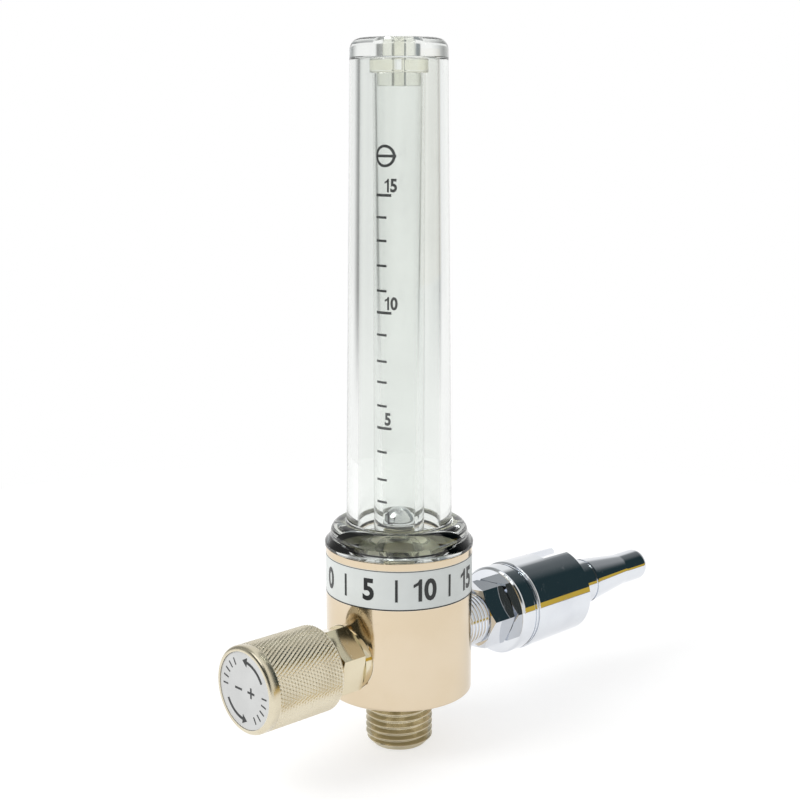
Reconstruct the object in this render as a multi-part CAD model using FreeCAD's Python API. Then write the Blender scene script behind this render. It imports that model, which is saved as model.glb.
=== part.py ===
import FreeCAD, Part
import math
import os
from FreeCAD import Vector

# Oxygen flowmeter, millimetres. +Z runs up the flow tube, the origin is on its
# axis at the lower end of the outlet thread. The knob points along -Y, towards
# the user, and the supply probe along +Y, towards the wall.

# clearances
slip_gap = 0.05        # radial gap of turned pieces that slide or are pushed together
seal_gap = 0.02        # gap between a seated ring and its groove
move_gap = 0.30        # free space kept round whatever moves
rest_gap = 0.10        # free space between a moving piece and its stop
end_gap = 0.20         # axial gap left at the bottom of a socket
overcut = 1.0          # how far a cutter runs past the face that it opens
edge_round = 0.30      # rounding of small turned and moulded edges
side_share = 0.98      # part of a side that the roundings at its two ends may use up

# valve block
body_radius = 15.5
body_height = 32.0
body_foot_round = 0.7
body_top_round = 0.3
body_wall = 3.05       # wall left round the threaded cavity
cavity_room = 1.0      # space under the cover's skirt
valve_rise = 10.0      # axis of knob and probe above the block's lower face
riser_radius = 2.0     # gas way from the inlet up to the flow tube
feed_radius = 1.1      # gas way from round the flow tube down to the needle
drain_radius = 1.2     # gas way from the needle down to the outlet

# label wrapped round the block in a shallow recess
label_drop = 1.7       # plain band above the label
label_height = 8.4
label_depth = 0.25
label_thickness = 0.18
label_seam = 0.8

# outlet thread, 9/16-18, drawn as a plain cylinder at its crest
outlet_length = 12.5
outlet_radius = 7.144
outlet_chamfer = 1.5
outlet_bore_radius = 2.9
outlet_neck_radius = 6.3
outlet_neck_length = 1.0
outlet_runout = 0.6
outlet_shank_radius = 6.0
outlet_shank_length = 6.0
outlet_ring_section = 0.7

# clear cover
flange_overhang = 0.2  # how far the cover's flange stands out past the block
flange_height = 0.7
flange_slope = 1.4
flange_step = 1.2
flange_edge_round = 0.5
shoulder_height = 5.0  # from the block's top face to the foot of the long wall
shoulder_round = 3.0
foot_fillet = 0.4
cover_foot_radius = 11.1
cover_top_radius = 9.85
cover_height = 104.3   # from the block's top face to the crown
crown_rise = 0.5
cover_top_round = 2.3
cover_wall = 2.0
cover_foot_wall = 2.3
cover_inner_round = 0.6
cap_thickness = 4.1
pocket_radius = 3.5
pocket_depth = 2.8
skirt_length = 6.5
cover_ring_section = 0.7
cover_ring_inset = 1.45

# flow tube, float and its stops
tube_radius = 5.3
tube_bore_low = 3.4
tube_bore_high = 4.6
tube_socket_depth = 6.0
tube_ring_section = 0.8
ball_radius = 3.175
ball_rise = 4.9        # centre of the resting float above the block's top face
seat_radius = 3.32
seat_length = 5.0
seat_rim = 0.3
seat_hole_radius = 1.5
cushion_radius = 5.9
cushion_height = 3.2
cushion_spigot_radius = 4.4
cushion_spigot_length = 2.6
cushion_peg_radius = 3.3
cushion_peg_length = 2.4
cushion_hole_radius = 1.1
cushion_slot_width = 1.3
cushion_slot_height = 2.0
cushion_slot_floor = 0.6
cushion_slot_count = 4

# bonnet of the needle valve, its places measured from the body axis along the knob's
bonnet_pocket_depth = 2.1
bonnet_collar_radius = 7.0
bonnet_collar_length = 1.9
bonnet_across_flats = 13.2
bonnet_hex_length = 6.1
bonnet_hex_turn = 20.0
bonnet_chamfer = 0.3
bonnet_shank_radius = 5.5
bonnet_shank_length = 3.4
bonnet_counterbore = 1.5
bonnet_nose_radius = 4.2
bonnet_nose_length = 3.0
gasket_radius = 6.9
gasket_thickness = 0.4
chamber_radius = 3.6
chamber_length = 2.4

# needle, its seat and the spindle that carries the knob
orifice_seat_radius = 2.2
orifice_seat_length = 1.8
orifice_radius = 0.9
orifice_lead = 0.5
needle_reach = 1.0
needle_tip_radius = 0.45
spindle_pitch = 1.0
knob_turns = 2.5
spindle_radius = 2.4
spindle_neck_radius = 1.9
spindle_neck_length = 1.6
spindle_neck_slope = 0.6
spindle_stop_radius = 3.0
spindle_stop_length = 0.9
spindle_ring_section = 0.5
spindle_ring_inset = 4.2
spindle_tail_radius = 2.0

# knob
knob_radius = 9.0
knob_gap = 0.5         # between the bonnet's hexagon and the closed knob
knob_length = 19.3
knob_edge_round = 0.8
knob_back_chamfer = 1.2
knob_hollow_radius = 5.4
knob_hollow_depth = 4.4
knob_web = 3.2
disc_radius = 7.9
disc_thickness = 0.5
disc_recess = 0.7
screw_head_radius = 2.6
screw_head_height = 1.4
screw_shank_radius = 1.1
screw_shank_length = 6.0
screw_hole_depth = 7.0
screw_slot_width = 0.7
screw_slot_depth = 0.6
screw_well_radius = 3.2

# inlet side, its places measured from the body axis along the probe's
inlet_spot_depth = 1.3
inlet_spot_radius = 6.9
inlet_thread_radius = 5.9
inlet_shank_length = 5.0
inlet_bore_radius = 2.2
inlet_length = 10.0    # nipple standing out of the block
filter_radius = 3.0
filter_length = 2.5
union_overlap = 2.4    # nipple covered by the nut
union_length = 7.0
union_across_flats = 13.2
union_turn = -4.0
union_chamfer = 0.5
union_seal_thickness = 1.0

# supply probe
stem_radius = 4.4
stem_head_radius = 5.5
stem_head_length = 1.8
collar_gap = 0.15
collar_length = 4.75
collar_front_radius = 9.5
collar_front_round = 0.2
collar_radius = 9.95
collar_dome = 0.5
collar_dome_round = 0.4
collar_groove_depth = 0.35
collar_groove_width = 0.4
collar_lip = 1.0
sleeve_neck = 0.4      # thin ring between collar and sleeve
sleeve_neck_step = 0.6
sleeve_length = 18.5
sleeve_radius = 10.15
sleeve_nose_radius = 9.85
sleeve_chamfer = 0.8
sleeve_wall = 1.8
sleeve_web = 5.0
sleeve_inner_round = 0.5
sleeve_slot_width = 4.6
sleeve_slot_length = 9.0
nose_radius = 5.3
nose_setback = 3.2     # nose starts this far inside the sleeve
nose_length = 11.3
latch_groove_inset = 0.9
latch_groove_width = 0.6
latch_groove_depth = 0.35
cone_length = 12.7
cone_foot_round = 4.0
tip_radius = 3.75
tip_length = 8.5
tip_round = 2.3
probe_bore_radius = 1.6

UP = Vector(0, 0, 1)

# heights that several pieces share
block_bottom = outlet_length
block_top = block_bottom + body_height
valve_height = block_bottom + valve_rise
label_top = block_top - label_drop
label_bottom = label_top - label_height
cavity_radius = body_radius - body_wall
cavity_floor = block_top - skirt_length - cavity_room
tube_foot = cavity_floor - tube_socket_depth
tube_ring_height = tube_foot + tube_socket_depth / 2
tube_ring_radius = tube_radius + tube_ring_section + seal_gap
ball_centre = block_top + ball_rise
flange_radius = body_radius + flange_overhang
crown = block_top + cover_height
cap_under = crown - cap_thickness
tube_head = cap_under - cushion_height
cover_ring_radius = body_radius - cover_ring_inset
cover_ring_height = block_top - cover_ring_section
outlet_shank_top = block_bottom + outlet_shank_length
outlet_ring_height = block_bottom + outlet_shank_length / 2
outlet_ring_radius = outlet_shank_radius + slip_gap - outlet_ring_section - seal_gap

# places along the knob's axis
bonnet_seat = body_radius - bonnet_pocket_depth
bonnet_face = bonnet_seat + gasket_thickness
bonnet_hex_start = bonnet_face + bonnet_collar_length
bonnet_hex_end = bonnet_hex_start + bonnet_hex_length
bonnet_nose_end = bonnet_hex_end + bonnet_nose_length
bonnet_foot = bonnet_seat - bonnet_shank_length
chamber_end = bonnet_foot - chamber_length
orifice_end = chamber_end - orifice_seat_length
feed_place = (chamber_end + bonnet_foot) / 2
drain_place = orifice_end - drain_radius - end_gap
needle_tip = orifice_end - needle_reach
spindle_travel = spindle_pitch * knob_turns
spindle_stop_end = bonnet_foot + bonnet_counterbore - spindle_travel - rest_gap
spindle_ring_place = bonnet_hex_end - spindle_ring_inset
spindle_ring_radius = spindle_radius + slip_gap - spindle_ring_section - seal_gap / 2
knob_back = bonnet_hex_end + knob_gap
knob_face = knob_back + knob_length
knob_web_start = knob_back + knob_hollow_depth
disc_seat = knob_face - disc_recess
tail_end = disc_seat - knob_web
screw_seat = disc_seat - screw_head_height - move_gap

# places along the probe's axis
inlet_flat = body_radius - inlet_spot_depth
inlet_foot = inlet_flat - inlet_shank_length
inlet_nose_end = inlet_flat + inlet_length
union_start = inlet_nose_end - union_overlap
union_end = union_start + union_length
stem_start = inlet_nose_end + union_seal_thickness
stem_head_end = stem_start + stem_head_length
collar_start = union_end + collar_gap
collar_end = collar_start + collar_length
sleeve_start = collar_end + sleeve_neck
sleeve_end = sleeve_start + sleeve_length
nose_start = sleeve_end - nose_setback
nose_end = nose_start + nose_length
latch_groove_start = nose_end - latch_groove_inset
cone_end = nose_end + cone_length
tip_end = cone_end + tip_length


def corner_arc(before, corner, after, radius, share_before, share_after):
    """Start, middle and end of the arc that rounds a corner, kept within its share of both sides."""
    to_before = before.sub(corner)
    to_after = after.sub(corner)
    half_angle = to_before.getAngle(to_after) / 2
    reach = radius / math.tan(half_angle)
    reach = min(reach, share_before * to_before.Length, share_after * to_after.Length)
    radius = reach * math.tan(half_angle)
    to_before.normalize()
    to_after.normalize()
    inward = to_before.add(to_after).normalize()
    centre = corner.add(inward * (radius / math.sin(half_angle)))
    start = corner.add(to_before * reach)
    end = corner.add(to_after * reach)
    return start, centre.sub(inward * radius), end


def turned(corners):
    """Solid of revolution about Z. Each corner is (radius, height) or (radius, height, rounding)."""
    points = [Vector(corner[0], 0, corner[1]) for corner in corners]
    roundings = [corner[2] if len(corner) == 3 else 0 for corner in corners]
    count = len(points)
    path = []
    for i, radius in enumerate(roundings):
        after = (i + 1) % count
        if radius:
            share_before = side_share * radius / (radius + roundings[i - 1])
            share_after = side_share * radius / (radius + roundings[after])
            path.append(corner_arc(points[i - 1], points[i], points[after], radius,
                                   share_before, share_after))
        else:
            path.append((points[i],))
    edges = []
    for i, step in enumerate(path):
        if len(step) == 3:
            edges.append(Part.Arc(*step).toShape())
        start = step[-1]
        end = path[(i + 1) % count][0]
        edges.append(Part.LineSegment(start, end).toShape())
    face = Part.Face(Part.Wire(edges))
    return face.revolve(Vector(0, 0, 0), UP, 360)


def cylinder(radius, start, end):
    return Part.makeCylinder(radius, end - start, Vector(0, 0, start), UP)


def tube(outer, inner, start, end):
    """Plain ring about Z."""
    return cylinder(outer, start, end).cut(cylinder(inner, start - overcut, end + overcut))


def hexagon(across_flats, start, end, turn, chamfer):
    """Six-sided bar along Z, turned from +X by the given angle, its corners turned off at both ends."""
    rim = across_flats / 2
    corner = rim / math.cos(math.radians(30))
    angles = [math.radians(turn + 60 * i) for i in range(7)]
    ring = [Vector(corner * math.cos(a), corner * math.sin(a), start) for a in angles]
    bar = Part.Face(Part.makePolygon(ring)).extrude(UP * (end - start))
    outside = corner + edge_round
    fall = chamfer * (outside - rim) / (corner - rim)
    barrel = turned([
        (0, start),
        (rim, start),
        (outside, start + fall),
        (outside, end - fall),
        (rim, end),
        (0, end),
    ])
    return bar.common(barrel)


def ring_seal(radius, section, height):
    """O-ring about Z."""
    return Part.makeTorus(radius, section, Vector(0, 0, height), UP)


def towards_wall(shape):
    """Places a piece drawn along Z on the probe's axis."""
    shape.rotate(Vector(0, 0, 0), Vector(1, 0, 0), -90)
    shape.translate(Vector(0, 0, valve_height))
    return shape


def towards_user(shape):
    """Places a piece drawn along Z on the knob's axis."""
    shape.rotate(Vector(0, 0, 0), Vector(1, 0, 0), 90)
    shape.translate(Vector(0, 0, valve_height))
    return shape


def valve_block():
    """Turned brass block with its cavity, sockets and drilled gas passages."""
    recess = body_radius - label_depth
    block = turned([
        (0, block_bottom),
        (body_radius, block_bottom, body_foot_round),
        (body_radius, label_bottom),
        (recess, label_bottom),
        (recess, label_top),
        (body_radius, label_top),
        (body_radius, block_top, body_top_round),
        (0, block_top),
    ])

    # top: threaded cavity, socket of the flow tube with its ring groove, trench of the cover's ring
    groove_half = tube_ring_section + seal_gap
    trench_half = cover_ring_section + seal_gap
    block = block.cut(Part.makeCompound([
        cylinder(cavity_radius, cavity_floor, block_top + overcut),
        cylinder(tube_radius + slip_gap, tube_foot, cavity_floor + overcut),
        cylinder(tube_ring_radius + groove_half,
                 tube_ring_height - groove_half, tube_ring_height + groove_half),
        cylinder(riser_radius, valve_height, tube_foot + overcut),
        tube(cover_ring_radius + trench_half, cover_ring_radius - trench_half,
             block_top - 2 * cover_ring_section, block_top + overcut),
        cylinder(outlet_shank_radius + slip_gap, block_bottom - overcut, outlet_shank_top),
    ]))

    # front: pocket of the bonnet's collar, bonnet thread, needle chamber, pocket of its orifice seat
    front = cylinder(bonnet_collar_radius + slip_gap, bonnet_seat, body_radius + overcut)
    front = front.fuse(cylinder(bonnet_shank_radius + slip_gap, bonnet_foot, bonnet_seat + overcut))
    front = front.fuse(cylinder(chamber_radius, chamber_end, bonnet_foot + overcut))
    front = front.fuse(cylinder(orifice_seat_radius + slip_gap, orifice_end, chamber_end + overcut))
    block = block.cut(towards_user(front))

    # rear: spot face, nipple thread, filter well and the way to the riser
    rear = cylinder(inlet_spot_radius, inlet_flat, body_radius + overcut)
    rear = rear.fuse(cylinder(inlet_thread_radius + slip_gap, inlet_foot, inlet_flat + overcut))
    rear = rear.fuse(cylinder(filter_radius + slip_gap, inlet_foot - filter_length, inlet_foot + overcut))
    rear = rear.fuse(cylinder(inlet_bore_radius, 0, inlet_foot))
    block = block.cut(towards_wall(rear))

    # gas comes down from round the flow tube to the needle, and leaves by the outlet
    feed = cylinder(feed_radius, valve_height, cavity_floor + overcut)
    feed.translate(Vector(0, -feed_place, 0))
    drain = cylinder(drain_radius, outlet_shank_top - overcut, valve_height)
    drain.translate(Vector(0, -drain_place, 0))
    well = towards_user(cylinder(drain_radius, drain_place, orifice_end + end_gap))
    return block.cut(Part.makeCompound([feed, drain])).cut(well)


def label_band():
    inner = body_radius - label_depth + slip_gap
    band = tube(inner + label_thickness, inner, label_bottom + slip_gap, label_top - slip_gap)
    seam = Part.makeBox(body_radius, label_seam, label_height,
                        Vector(-body_radius, -label_seam / 2, label_bottom))
    return band.cut(seam)


def outlet_nipple():
    """Male outlet with a bore for the gas, screwed up into the block."""
    thread_end = block_bottom - outlet_neck_length
    nipple = turned([
        (outlet_bore_radius, 0),
        (outlet_radius - outlet_chamfer, 0),
        (outlet_radius, outlet_chamfer),
        (outlet_radius, thread_end - outlet_runout),
        (outlet_neck_radius, thread_end),
        (outlet_neck_radius, block_bottom),
        (outlet_shank_radius, block_bottom),
        (outlet_shank_radius, outlet_shank_top - end_gap),
        (outlet_bore_radius, outlet_shank_top - end_gap),
    ])
    half = outlet_ring_section + seal_gap
    groove = tube(outlet_shank_radius + overcut, outlet_ring_radius - half,
                  outlet_ring_height - half, outlet_ring_height + half)
    return nipple.cut(groove)


def clear_cover():
    """Moulded cover: threaded skirt, stepped flange, long tapered wall and thick cap."""
    skirt_radius = cavity_radius - slip_gap
    step_radius = flange_radius - flange_step
    step_bottom = block_top + flange_height + flange_slope
    shoulder = block_top + shoulder_height
    outside = turned([
        (0, block_top - skirt_length),
        (skirt_radius, block_top - skirt_length),
        (skirt_radius, block_top),
        (flange_radius, block_top),
        (flange_radius, block_top + flange_height, flange_edge_round),
        (step_radius, step_bottom, flange_edge_round),
        (step_radius, shoulder, shoulder_round),
        (cover_foot_radius, shoulder, foot_fillet),
        (cover_top_radius, crown - crown_rise, cover_top_round),
        (0, crown),
    ])
    foot_bore = cover_foot_radius - cover_foot_wall
    top_bore = cover_top_radius - cover_wall
    inside = turned([
        (0, block_top - skirt_length - overcut),
        (foot_bore, block_top - skirt_length - overcut),
        (foot_bore, shoulder),
        (top_bore, cap_under, cover_inner_round),
        (pocket_radius, cap_under),
        (pocket_radius, cap_under + pocket_depth),
        (0, cap_under + pocket_depth),
    ])
    return outside.cut(inside)


def flow_tube():
    """Tapered metering tube, its bore widening upwards from the resting float."""
    return turned([
        (tube_bore_low, tube_foot + end_gap),
        (tube_radius, tube_foot + end_gap, edge_round),
        (tube_radius, tube_head),
        (tube_bore_high, tube_head),
        (tube_bore_low, ball_centre - ball_radius),
    ])


def ball_seat():
    """Plug in the foot of the flow tube with a cupped gas hole that the float lies in."""
    touch = ball_radius * math.cos(math.radians(45))
    cup_radius = seat_radius - seat_rim
    top = ball_centre - touch - rest_gap + cup_radius - touch
    return turned([
        (seat_hole_radius, top - seat_length),
        (seat_radius, top - seat_length),
        (seat_radius, top),
        (cup_radius, top),
        (seat_hole_radius, top - (cup_radius - seat_hole_radius)),
    ])


def float_ball():
    return Part.makeSphere(ball_radius, Vector(0, 0, ball_centre))


def top_cushion():
    """Soft stop at the head of the tube: spigot in the bore, slotted flange, peg in the cap."""
    flange_top = cap_under - slip_gap
    flange_bottom = tube_head + slip_gap
    cushion = turned([
        (cushion_hole_radius, flange_bottom - cushion_spigot_length),
        (cushion_spigot_radius, flange_bottom - cushion_spigot_length, edge_round),
        (cushion_spigot_radius, flange_bottom),
        (cushion_radius, flange_bottom, edge_round),
        (cushion_radius, flange_top, edge_round),
        (cushion_peg_radius, flange_top),
        (cushion_peg_radius, flange_top + cushion_peg_length, edge_round),
        (cushion_hole_radius, flange_top + cushion_peg_length),
    ])
    slot_bottom = (flange_top + flange_bottom - cushion_slot_height) / 2
    for i in range(cushion_slot_count):
        slot = Part.makeBox(cushion_radius, cushion_slot_width, cushion_slot_height,
                            Vector(cushion_slot_floor, -cushion_slot_width / 2, slot_bottom))
        slot.rotate(Vector(0, 0, 0), UP, 45 + 360 / cushion_slot_count * i)
        cushion = cushion.cut(slot)
    return cushion


def valve_bonnet():
    """Hexagon bonnet with a collar and threaded shank in the block and a nose inside the knob."""
    bonnet = hexagon(bonnet_across_flats, bonnet_hex_start, bonnet_hex_end, bonnet_hex_turn, bonnet_chamfer)
    bonnet = bonnet.fuse(cylinder(bonnet_collar_radius, bonnet_face, bonnet_hex_start))
    bonnet = bonnet.fuse(cylinder(bonnet_shank_radius, bonnet_foot, bonnet_face))
    bonnet = bonnet.fuse(cylinder(bonnet_nose_radius, bonnet_hex_end, bonnet_nose_end))
    bore = cylinder(spindle_radius + slip_gap, bonnet_foot - overcut, bonnet_nose_end + overcut)
    counterbore = cylinder(chamber_radius, bonnet_foot - overcut, bonnet_foot + bonnet_counterbore)
    return towards_user(bonnet.removeSplitter().cut(bore).cut(counterbore))


def bonnet_gasket():
    return towards_user(tube(gasket_radius, bonnet_shank_radius + slip_gap, bonnet_seat, bonnet_face))


def orifice_seat():
    """Pressed-in seat that the needle closes."""
    return towards_user(turned([
        (orifice_radius, orifice_end),
        (orifice_seat_radius, orifice_end),
        (orifice_seat_radius, chamber_end),
        (orifice_radius + orifice_lead, chamber_end),
        (orifice_radius, chamber_end - orifice_lead),
    ]))


def needle_spindle():
    """Spindle with needle point, stop collar, O-ring groove and the tail that carries the knob."""
    half = spindle_ring_section + seal_gap
    groove = spindle_ring_radius - half
    stop_start = spindle_stop_end - spindle_stop_length
    neck_end = spindle_stop_end + spindle_neck_length
    spindle = turned([
        (0, needle_tip),
        (needle_tip_radius, needle_tip),
        (orifice_radius - rest_gap, stop_start),
        (spindle_stop_radius, stop_start),
        (spindle_stop_radius, spindle_stop_end),
        (spindle_neck_radius, spindle_stop_end),
        (spindle_neck_radius, neck_end),
        (spindle_radius, neck_end + spindle_neck_slope),
        (spindle_radius, spindle_ring_place - half),
        (groove, spindle_ring_place - half),
        (groove, spindle_ring_place + half),
        (spindle_radius, spindle_ring_place + half),
        (spindle_radius, knob_web_start - slip_gap),
        (spindle_tail_radius, knob_web_start - slip_gap),
        (spindle_tail_radius, tail_end),
        (0, tail_end),
    ])
    thread = cylinder(screw_shank_radius + slip_gap, tail_end - screw_hole_depth, tail_end + overcut)
    return towards_user(spindle.cut(thread))


def spindle_ring():
    return towards_user(ring_seal(spindle_ring_radius, spindle_ring_section, spindle_ring_place))


def knob():
    """Knob with a rounded rim, a hollow back over the bonnet's nose and a recess for its disc."""
    shell = turned([
        (0, knob_back),
        (knob_radius - knob_back_chamfer, knob_back),
        (knob_radius, knob_back + knob_back_chamfer),
        (knob_radius, knob_face, knob_edge_round),
        (0, knob_face),
    ])
    for radius, start, end in (
            (knob_hollow_radius, knob_back - overcut, knob_web_start),
            (spindle_tail_radius + slip_gap, knob_web_start - overcut, tail_end + slip_gap),
            (screw_shank_radius + move_gap, knob_web_start, knob_face),
            (screw_well_radius, screw_seat, knob_face),
            (disc_radius + slip_gap, disc_seat, knob_face + overcut)):
        shell = shell.cut(cylinder(radius, start, end))
    return towards_user(shell)


def knob_screw():
    """Slotted cheese-head screw that clamps the knob on the spindle's tail."""
    head_top = screw_seat + screw_head_height
    screw = cylinder(screw_head_radius, screw_seat, head_top)
    screw = screw.fuse(cylinder(screw_shank_radius, screw_seat - screw_shank_length, screw_seat))
    slot = Part.makeBox(2 * screw_head_radius, screw_slot_width, screw_slot_depth,
                        Vector(-screw_head_radius, -screw_slot_width / 2, head_top - screw_slot_depth))
    return towards_user(screw.cut(slot))


def knob_disc():
    return towards_user(cylinder(disc_radius, disc_seat, disc_seat + disc_thickness))


def inlet_nipple():
    """Threaded tube between the block and the union nut."""
    return towards_wall(turned([
        (inlet_bore_radius, inlet_foot),
        (inlet_thread_radius, inlet_foot),
        (inlet_thread_radius, inlet_nose_end, edge_round),
        (inlet_bore_radius, inlet_nose_end),
    ]))


def inlet_filter():
    """Sintered plug that keeps grit out of the valve."""
    return towards_wall(cylinder(filter_radius, inlet_foot - filter_length, inlet_foot))


def union_nut():
    """Hexagon nut that draws the probe's head on to the nipple."""
    nut = hexagon(union_across_flats, union_start, union_end, union_turn, union_chamfer)
    thread = cylinder(inlet_thread_radius + slip_gap, union_start - overcut, stem_head_end + slip_gap)
    hole = cylinder(stem_radius + slip_gap, union_start, union_end + overcut)
    return towards_wall(nut.cut(thread).cut(hole))


def union_seal():
    return towards_wall(tube(stem_head_radius, inlet_bore_radius, inlet_nose_end, stem_start))


def probe_stem():
    """Probe body: clamped head, shank, nose with its latch groove, cone and rounded tip."""
    groove_radius = nose_radius - latch_groove_depth
    groove_end = latch_groove_start + latch_groove_width
    return towards_wall(turned([
        (probe_bore_radius, stem_start),
        (stem_head_radius, stem_start),
        (stem_head_radius, stem_head_end),
        (stem_radius, stem_head_end),
        (stem_radius, nose_start),
        (nose_radius, nose_start),
        (nose_radius, latch_groove_start),
        (groove_radius, latch_groove_start),
        (groove_radius, groove_end),
        (nose_radius, groove_end),
        (nose_radius, nose_end, edge_round),
        (tip_radius, cone_end, cone_foot_round),
        (tip_radius, tip_end, tip_round),
        (probe_bore_radius, tip_end),
    ]))


def probe_collar():
    """Domed collar behind the union nut, grooved before its rear lip."""
    groove_radius = collar_radius - collar_groove_depth
    groove_start = collar_end - collar_lip
    groove_end = groove_start + collar_groove_width
    return towards_wall(turned([
        (stem_radius + slip_gap, collar_start),
        (collar_front_radius, collar_start, collar_front_round),
        (collar_radius, collar_start + collar_dome, collar_dome_round),
        (collar_radius, groove_start),
        (groove_radius, groove_start),
        (groove_radius, groove_end),
        (collar_radius, groove_end),
        (collar_radius, collar_end, edge_round),
        (stem_radius + slip_gap, collar_end),
    ]))


def index_sleeve():
    """Sleeve round the probe, open at its nose end, with the slot that keys it in a socket."""
    inner = sleeve_radius - sleeve_wall
    neck_radius = sleeve_radius - sleeve_neck_step
    web_end = sleeve_start + sleeve_web
    sleeve = turned([
        (stem_radius + slip_gap, collar_end),
        (neck_radius, collar_end),
        (neck_radius, sleeve_start),
        (sleeve_radius, sleeve_start, edge_round),
        (sleeve_nose_radius, sleeve_end - sleeve_chamfer),
        (sleeve_nose_radius - sleeve_chamfer, sleeve_end),
        (inner, sleeve_end),
        (inner, web_end, sleeve_inner_round),
        (stem_radius + slip_gap, web_end),
    ])
    slot_start = sleeve_end - sleeve_slot_length
    slot = Part.makeBox(sleeve_slot_width, sleeve_radius + overcut, sleeve_slot_length + overcut,
                        Vector(-sleeve_slot_width / 2, -sleeve_radius - overcut, slot_start))
    return towards_wall(sleeve.cut(slot))


pieces = {
    "valve_block": valve_block(),
    "label_band": label_band(),
    "outlet_nipple": outlet_nipple(),
    "outlet_ring": ring_seal(outlet_ring_radius, outlet_ring_section, outlet_ring_height),
    "clear_cover": clear_cover(),
    "cover_ring": ring_seal(cover_ring_radius, cover_ring_section, cover_ring_height),
    "flow_tube": flow_tube(),
    "tube_ring": ring_seal(tube_ring_radius, tube_ring_section, tube_ring_height),
    "ball_seat": ball_seat(),
    "float_ball": float_ball(),
    "top_cushion": top_cushion(),
    "valve_bonnet": valve_bonnet(),
    "bonnet_gasket": bonnet_gasket(),
    "orifice_seat": orifice_seat(),
    "needle_spindle": needle_spindle(),
    "spindle_ring": spindle_ring(),
    "knob": knob(),
    "knob_screw": knob_screw(),
    "knob_disc": knob_disc(),
    "inlet_nipple": inlet_nipple(),
    "inlet_filter": inlet_filter(),
    "union_nut": union_nut(),
    "union_seal": union_seal(),
    "probe_stem": probe_stem(),
    "probe_collar": probe_collar(),
    "index_sleeve": index_sleeve(),
}

os.makedirs("parts", exist_ok=True)
for name, shape in pieces.items():
    solids = shape.Solids
    print(name, "solids", len(solids), "valid", shape.isValid(), "volume", round(shape.Volume, 1))
    solid = solids[0] if len(solids) == 1 else Part.makeCompound(solids)
    solid.exportStep("parts/" + name + ".step")
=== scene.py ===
import bpy
import bmesh
import math
from mathutils import Matrix, Vector


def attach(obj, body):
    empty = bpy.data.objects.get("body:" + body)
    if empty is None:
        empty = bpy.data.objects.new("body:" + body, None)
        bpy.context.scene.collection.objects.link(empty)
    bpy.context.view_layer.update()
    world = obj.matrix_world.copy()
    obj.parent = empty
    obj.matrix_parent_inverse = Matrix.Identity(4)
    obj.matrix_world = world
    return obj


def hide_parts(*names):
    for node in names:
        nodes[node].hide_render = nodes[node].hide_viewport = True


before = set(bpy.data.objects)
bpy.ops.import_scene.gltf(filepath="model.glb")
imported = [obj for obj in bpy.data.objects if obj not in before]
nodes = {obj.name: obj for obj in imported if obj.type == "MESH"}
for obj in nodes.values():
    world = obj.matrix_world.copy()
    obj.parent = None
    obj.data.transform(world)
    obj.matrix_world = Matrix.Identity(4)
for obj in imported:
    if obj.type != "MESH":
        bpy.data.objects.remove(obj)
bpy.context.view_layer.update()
mm = 0.001
valveHeight = 22.5          # axis of the knob and the probe
cameraSide = 47.0           # turn from the knob's side to the camera's side, degrees round the flow tube
white = (1, 1, 1, 1)
tiny = 1e-6                 # how near counts as touching while a piece is drawn, in millimetres
near = 1e-4                 # how near an open edge has to lie to the height at which it is carried on
print("frame loaded,", len(nodes), "nodes")


def rgb(red, green, blue):
    # screen colour, 0 to 255, as the light values that Blender works in
    def light(value):
        value /= 255
        return value / 12.92 if value <= 0.04045 else ((value + 0.055) / 1.055) ** 2.4
    return (light(red), light(green), light(blue), 1)


def put(tree, kind, inputs=None, **settings):
    # adds a node, sets its options, and links or fills its inputs
    node = tree.nodes.new(kind)
    for name, value in settings.items():
        setattr(node, name, value)
    for socket, value in (inputs or {}).items():
        if isinstance(value, bpy.types.NodeSocket):
            tree.links.new(value, node.inputs[socket])
        else:
            node.inputs[socket].default_value = value
    return node


def maths(tree, operation, first, second=0.0):
    return put(tree, "ShaderNodeMath", {0: first, 1: second}, operation=operation).outputs[0]


def vectors(tree, operation, first, second=(0, 0, 0), result="Vector"):
    return put(tree, "ShaderNodeVectorMath", {0: first, 1: second}, operation=operation).outputs[result]


def noise(tree, scale, detail, inputs=None, **settings):
    return put(tree, "ShaderNodeTexNoise", {"Scale": scale, "Detail": detail, **(inputs or {})},
               **settings).outputs[0]


def dot(tree, first, second):
    return vectors(tree, "DOT_PRODUCT", first, second, "Value")


# the Mix node's colours are its sockets 6 and 7, its values 2 and 3
def blendColours(tree, factor, first, second, how="MIX"):
    return put(tree, "ShaderNodeMix", {0: factor, 6: first, 7: second},
               data_type="RGBA", blend_type=how).outputs[2]


def blendValues(tree, factor, first, second):
    return put(tree, "ShaderNodeMix", {0: factor, 2: first, 3: second}, data_type="FLOAT").outputs[0]


def spread(tree, value, low, high, toLow=0.0, toHigh=1.0, smooth=False):
    return put(tree, "ShaderNodeMapRange", {0: value, 1: low, 2: high, 3: toLow, 4: toHigh},
               interpolation_type="SMOOTHSTEP" if smooth else "LINEAR").outputs[0]


def ramp(tree, value, stops):
    node = put(tree, "ShaderNodeValToRGB", {0: value})
    elements = node.color_ramp.elements
    while len(elements) < len(stops):
        elements.new(1)
    for element, (place, colour) in zip(elements, stops):
        element.position = place
        element.color = colour
    return node.outputs[0]


# Camera

view = {
    "place": (223.96, -208.72, 135.09),
    "tilt": 78.918,
    "turn": 46.98,
    "lens": 67.5,
}

lens = bpy.data.cameras.new("camera")
lens.lens = view["lens"]
lens.clip_start = 5 * mm
camera = bpy.data.objects.new("camera", lens)
camera.location = Vector(view["place"]) * mm
camera.rotation_euler = (math.radians(view["tilt"]), 0, math.radians(view["turn"]))
bpy.context.collection.objects.link(camera)
bpy.context.scene.camera = camera
bpy.context.scene.view_settings.view_transform = "Standard"


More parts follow.
